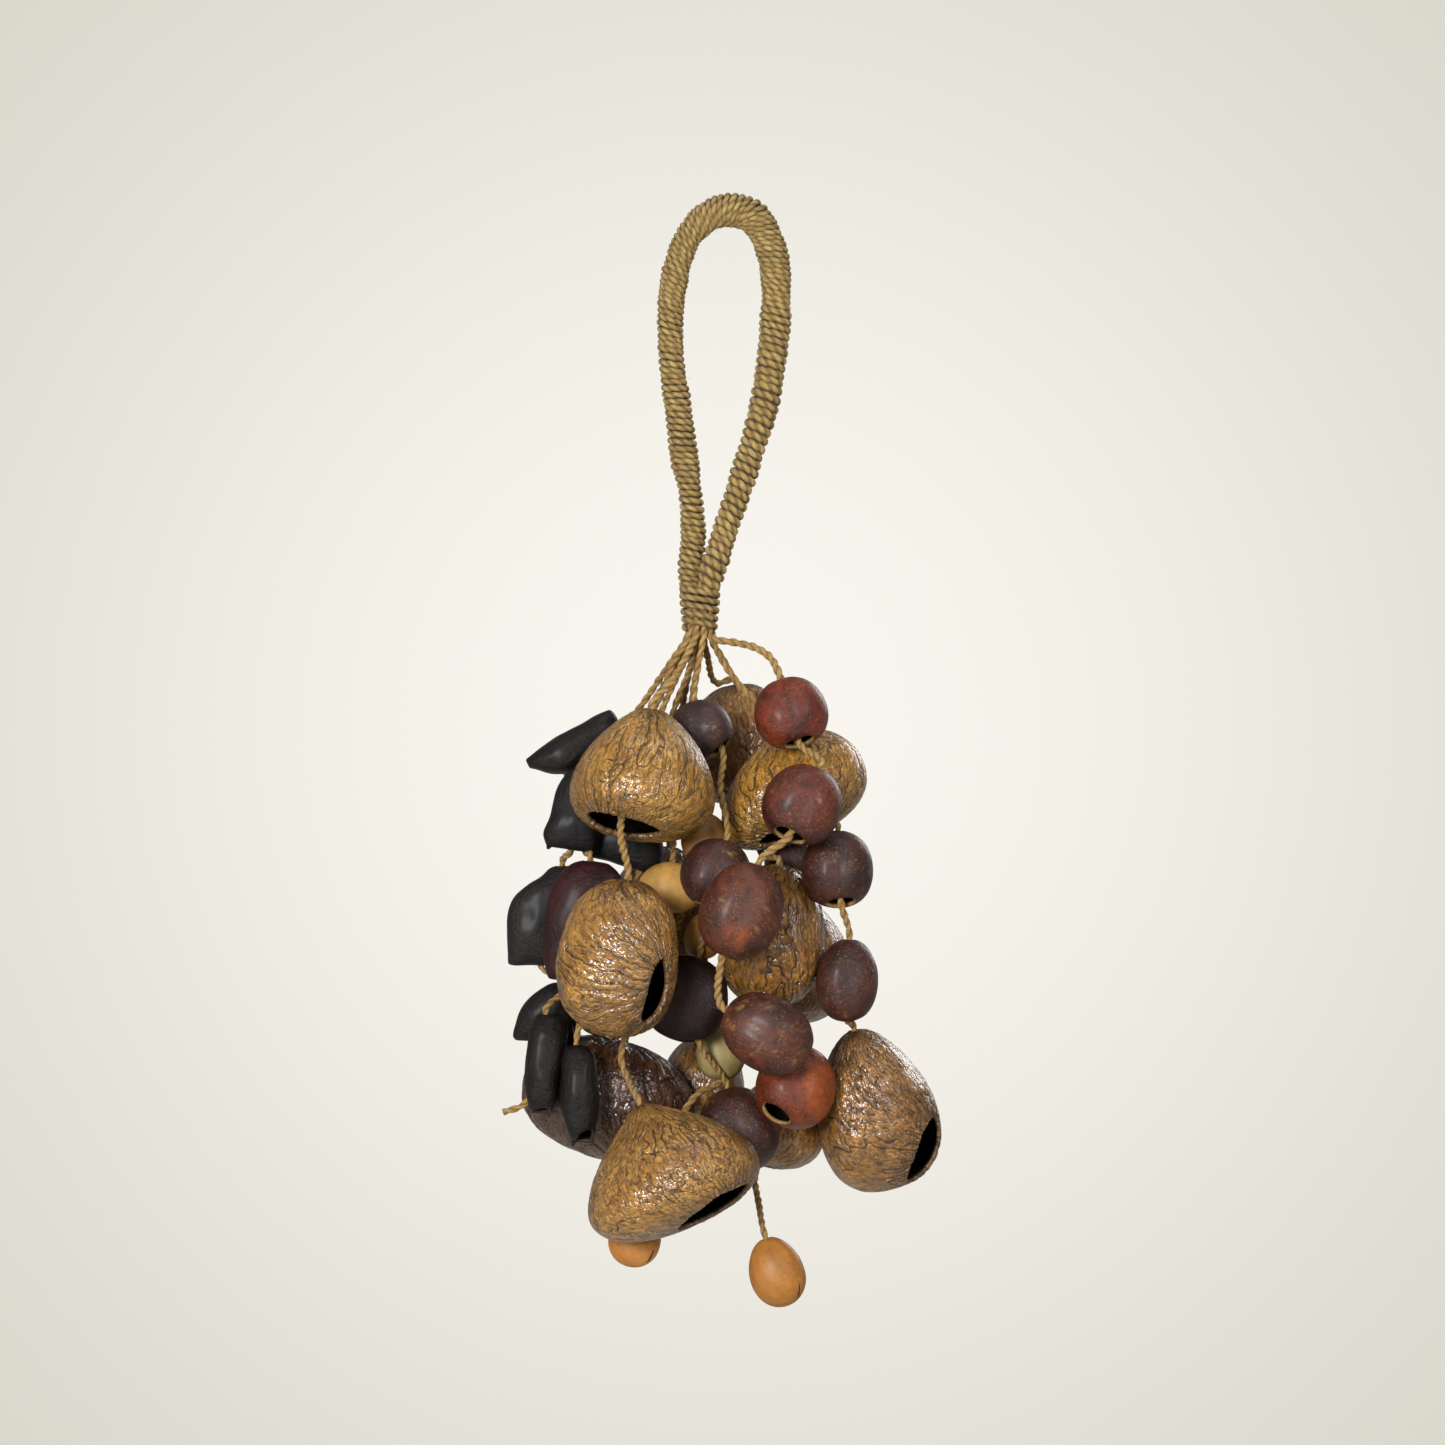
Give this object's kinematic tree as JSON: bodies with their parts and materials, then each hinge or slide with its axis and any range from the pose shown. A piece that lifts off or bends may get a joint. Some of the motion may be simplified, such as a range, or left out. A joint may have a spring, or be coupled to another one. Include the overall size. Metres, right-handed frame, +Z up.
{
  "type": "nutshell rattle",
  "caption": "Hand rattle of cut nutshells threaded on knotted cords, whipped together under a long twine-wrapped hanging loop.",
  "frame": {"origin": "underside of the loop's top, where it hangs on a hook", "axes": "+Z up, along the hanging rattle; +X to the right and -Y towards someone who faces it, as in the picture"},
  "size_m": [0.1358, 0.1097, 0.3442],
  "materials": {
    "twine": "rough plant-fibre twine",
    "cord": "rough plant-fibre cord",
    "shell": "glossy, deeply wrinkled",
    "nut": "satin",
    "husk": "satin",
    "seed": "smooth matt"
  },
  "bodies": {
    "root": {"wrapped_loop": "twine", "whipping": "twine", "cord_front_left": "cord", "cord_far_left": "cord", "cord_left": "cord", "cord_inner_left": "cord", "cord_back_left": "cord", "cord_arched": "cord", "cord_right": "cord", "cord_front_middle": "cord", "cord_back_middle": "cord", "cord_inner_middle": "cord", "cord_inner_back": "cord", "cord_back": "cord", "cord_back_right": "cord", "shell_upper_left": "shell", "shell_middle_left": "shell", "shell_lower_front": "shell", "shell_upper_right": "shell", "shell_lower_right": "shell", "shell_centre": "shell", "shell_lower_left": "shell", "shell_lower_back": "shell", "shell_bottom_right": "shell", "shell_back_top": "shell", "shell_back_left": "shell", "shell_back_right": "shell", "nut_top_right": "nut", "nut_right": "nut", "nut_front": "nut", "nut_front_low": "nut", "nut_top_middle": "nut", "nut_middle": "nut", "nut_low_middle": "nut", "nut_right_upper": "nut", "nut_right_lower": "nut", "nut_orange": "nut", "nut_behind_right": "nut", "nut_back_left": "nut", "husk_wide": "husk", "husk_top_left": "husk", "husk_left": "husk", "husk_under_shell": "husk", "husk_red": "husk", "husk_grey": "husk", "husk_curved": "husk", "husk_long": "husk", "husk_open": "husk", "husk_small": "husk", "seed_middle": "seed", "seed_upper": "seed", "seed_inner": "seed", "seed_green": "seed", "seed_bottom_left": "seed", "seed_bottom": "seed"}
  },
  "joints": []
}
